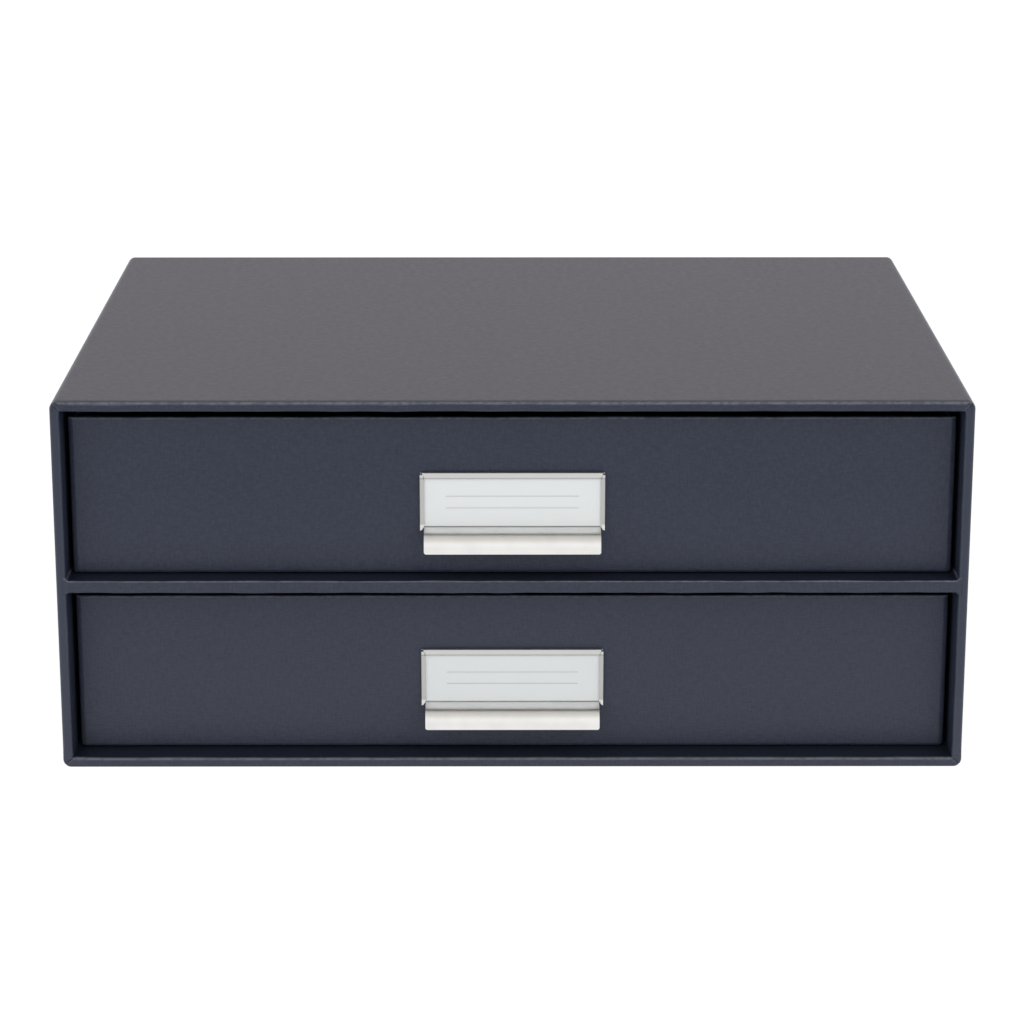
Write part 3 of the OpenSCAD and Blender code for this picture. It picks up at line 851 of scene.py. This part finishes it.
def makeGreyBoard():
    material, wire = newFinish("greyBoard")
    place = wire.add("TexCoord", out="Object")
    pulp = wire.noise(place, (350, 350, 350), 5, 0.65)
    cloudy = wire.noise(place, (40, 40, 40), 2, 0.5)
    darkFlecks = wire.noise(place, (1100, 450, 1100), 1, 0.5).ramp(0.64, 0.72)
    paleFlecks = wire.noise(place, (500, 1300, 1300), 1, 0.5, (3, 7, 1)).ramp(0.65, 0.72)
    colour = wire.mix(pulp * 0.7 + cloudy * 0.3, (0.24, 0.21, 0.17, 1), (0.38, 0.34, 0.28, 1))
    colour = wire.mix(darkFlecks * 0.6, colour, (0.10, 0.09, 0.09, 1))
    colour = wire.mix(paleFlecks * 0.5, colour, (0.58, 0.56, 0.52, 1))
    return endFinish(material, wire, Base_Color=colour, Roughness=0.85 + (pulp - 0.5) * 0.1,
                     Normal=wire.bump(pulp, 0.00012))


def makeNickel(name, roughness, colour, frames=()):
    material, wire = newFinish(name)
    place = wire.add("TexCoord", out="Object")
    grain = wire.noise(place, (250, 6000, 6000), 2, 0.5)
    cloudy = wire.noise(place, (160, 160, 160), 3, 0.5)
    dull = wire.noise(place, (900, 900, 900), 2, 0.5).ramp(0.5, 0.75)
    tint = wire.mix(cloudy.ramp(0.3, 0.7) * 0.5, colour, tuple(c * 0.9 for c in colour[:3]) + (1,))
    # the frame is darker than the pull, less so on its top band, and a painted shade line runs along the
    # window's top edge, where the top band overhangs the card
    height = wire.add("SeparateXYZ", {}, {0: place}).other(2)
    for foot, window in frames:
        inFrame = height.ramp(foot, foot + 0.0012) * (1 - height.ramp(window + 0.0035, window + 0.0045))
        above = height.ramp(window + 0.0001, window + 0.0004)
        tint = wire.mix(inFrame * (0.95 - above * 0.35), tint, (0.47, 0.47, 0.465, 1))
        line = (height.ramp(window - 0.0003, window - 0.0001)
                * (1 - height.ramp(window + 0.0003, window + 0.0005)))
        tint = wire.mix(line * 0.4, tint, (0.22, 0.22, 0.22, 1))
    return endFinish(
        material, wire, Base_Color=tint, Metallic=1,
        Roughness=roughness + (grain - 0.5) * 0.14 + dull * 0.06,
        Normal=wire.bump(grain * 0.6 + cloudy * 3, 0.000012))


cardPrint = {
    "lines": (0.0068, 0.0112),  # heights of the two fine writing lines above the card's foot
    "halfLength": 0.024,
    "thickness": 0.00016,
}


def makeCardStock(settings):
    material, wire = newFinish("labelCard")
    place = wire.add("TexCoord", out="Object")
    fibres = wire.noise(place, (1400, 1400, 1400), 4, 0.6)
    cloudy = wire.noise(place, (120, 120, 120), 2, 0.5)
    colour = wire.mix(fibres * 0.5 + cloudy * 0.5, (0.90, 0.945, 0.97, 1), (0.94, 0.975, 0.99, 1))
    across = wire.add("SeparateXYZ", {}, {0: place})
    height = across.other(2)
    ink = 0
    for drawer in ("upper", "lower"):
        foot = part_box(drawer + "_label_card")[0].z
        for line in settings["lines"]:
            near = abs(height - (foot + line))
            ink = ink + (1 - near.ramp(settings["thickness"] * 0.7, settings["thickness"] * 1.3))
    ink = ink * (1 - abs(across).ramp(settings["halfLength"], settings["halfLength"] + 0.0001))
    colour = wire.mix(ink * 0.45, colour, (0.22, 0.23, 0.25, 1))
    return endFinish(material, wire, Base_Color=colour, Roughness=0.42 + (fibres - 0.5) * 0.1,
                     Normal=wire.bump(fibres, 0.00001))


slotFinish = {
    "cover_paper": makeCoverPaper(coverSettings),
    "lining_paper": makeLiningPaper(),
    "board": makeGreyBoard(),
    "holder_metal": makeNickel("satinNickel", 0.32, (0.83, 0.825, 0.81, 1), [
        (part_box(drawer + "_label_card")[0].z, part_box(drawer + "_label_holder")[1].z - sheetMetal["topBand"])
        for drawer in ("upper", "lower")]),
    "rivet_metal": makeNickel("rivetNickel", 0.24, (0.76, 0.755, 0.735, 1)),
    "card": makeCardStock(cardPrint),
}
for part in frame["record"]["subparts"]:
    node = frame["nodes"][part["node"]]
    node.data.materials.clear()
    node.data.materials.append(slotFinish[part["material_slot"]])
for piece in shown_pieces():
    if "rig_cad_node" not in piece:
        piece.data.materials.clear()
        piece.data.materials.append(slotFinish[piece["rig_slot"]])
print("finishes done")

# ---------- floor, world and lamps ----------

studio = {
    "floorSize": 14,
    "floorWhite": 0.86,
    "shownShare": 0.9,  # share of plain white in what the camera sees of the floor
    "shownWhite": 1.08,
    "ceiling": 0.65,  # brightness of the studio overhead, next to 1 round about
    "ceilingWhite": (1, 0.97, 0.91, 1),
}


def whiteToCamera(wire):
    # 1 for what the camera, gloss and glass see, 0 for what lights the object
    path = wire.add("LightPath", out="Is Camera Ray")
    seen = path + path.other("Is Glossy Ray") + path.other("Is Transmission Ray")
    return wire.maths("MINIMUM", seen, 1)


def makeStudio(settings):
    bpy.ops.object.select_all(action="DESELECT")
    bpy.ops.mesh.primitive_plane_add(size=settings["floorSize"], location=(0, 0, cadLow.z))
    floor = bpy.context.object
    floor.name = "floor"
    bpy.ops.object.transform_apply(location=True, rotation=True, scale=True)
    material, wire = newFinish("floorWhite")
    white = settings["floorWhite"]
    shade = wire.add("BsdfDiffuse", {}, {"Color": (white, white, white, 1)})
    glow = wire.add("Emission", {}, {"Strength": settings["shownWhite"]})
    mixed = wire.add("MixShader", {}, {0: whiteToCamera(wire) * settings["shownShare"], 1: shade, 2: glow})
    wire.add("OutputMaterial", {}, {"Surface": mixed})
    floor.data.materials.append(material)
    world = bpy.data.worlds.new("studioWhite")
    bpy.context.scene.world = world
    world.use_nodes = True
    world.node_tree.nodes.clear()
    wire = Wire(world.node_tree)
    # a white backdrop all round, with a ceiling that is dimmer and warmer
    upward = wire.add("SeparateXYZ", {}, {0: wire.add("TexCoord")}).other(2)
    level = 1 - upward * upward * (1 - settings["ceiling"])
    white = wire.mix(upward.ramp(0.2, 0.95), (1, 1, 1, 1), settings["ceilingWhite"])
    sky = wire.add("Background", {}, {"Color": white, "Strength": level})
    wire.add("OutputWorld", {}, {"Surface": sky})


lamps = {
    # name: place, point that it looks at, width, height, power in watts
    "back": ((0, 2.0, 2.6), (0, 0, 0.1), 2.6, 1.6, 8),
    "front": ((0, -3.4, 1.2), (0, -0.1, 0.06), 5.0, 2.2, 5),
}


def makeLamps(settings):
    for name, (place, target, width, height, power) in settings.items():
        turn = (Vector(target) - Vector(place)).to_track_quat("-Z", "Y").to_euler()
        bpy.ops.object.light_add(type="AREA", location=place, rotation=turn)
        lamp = bpy.context.object
        lamp.name = name
        lamp.data.shape = "RECTANGLE"
        lamp.data.size, lamp.data.size_y, lamp.data.energy = width, height, power


makeStudio(studio)
makeLamps(lamps)
print("studio done")

bpy.context.scene.view_settings.view_transform = "Standard"
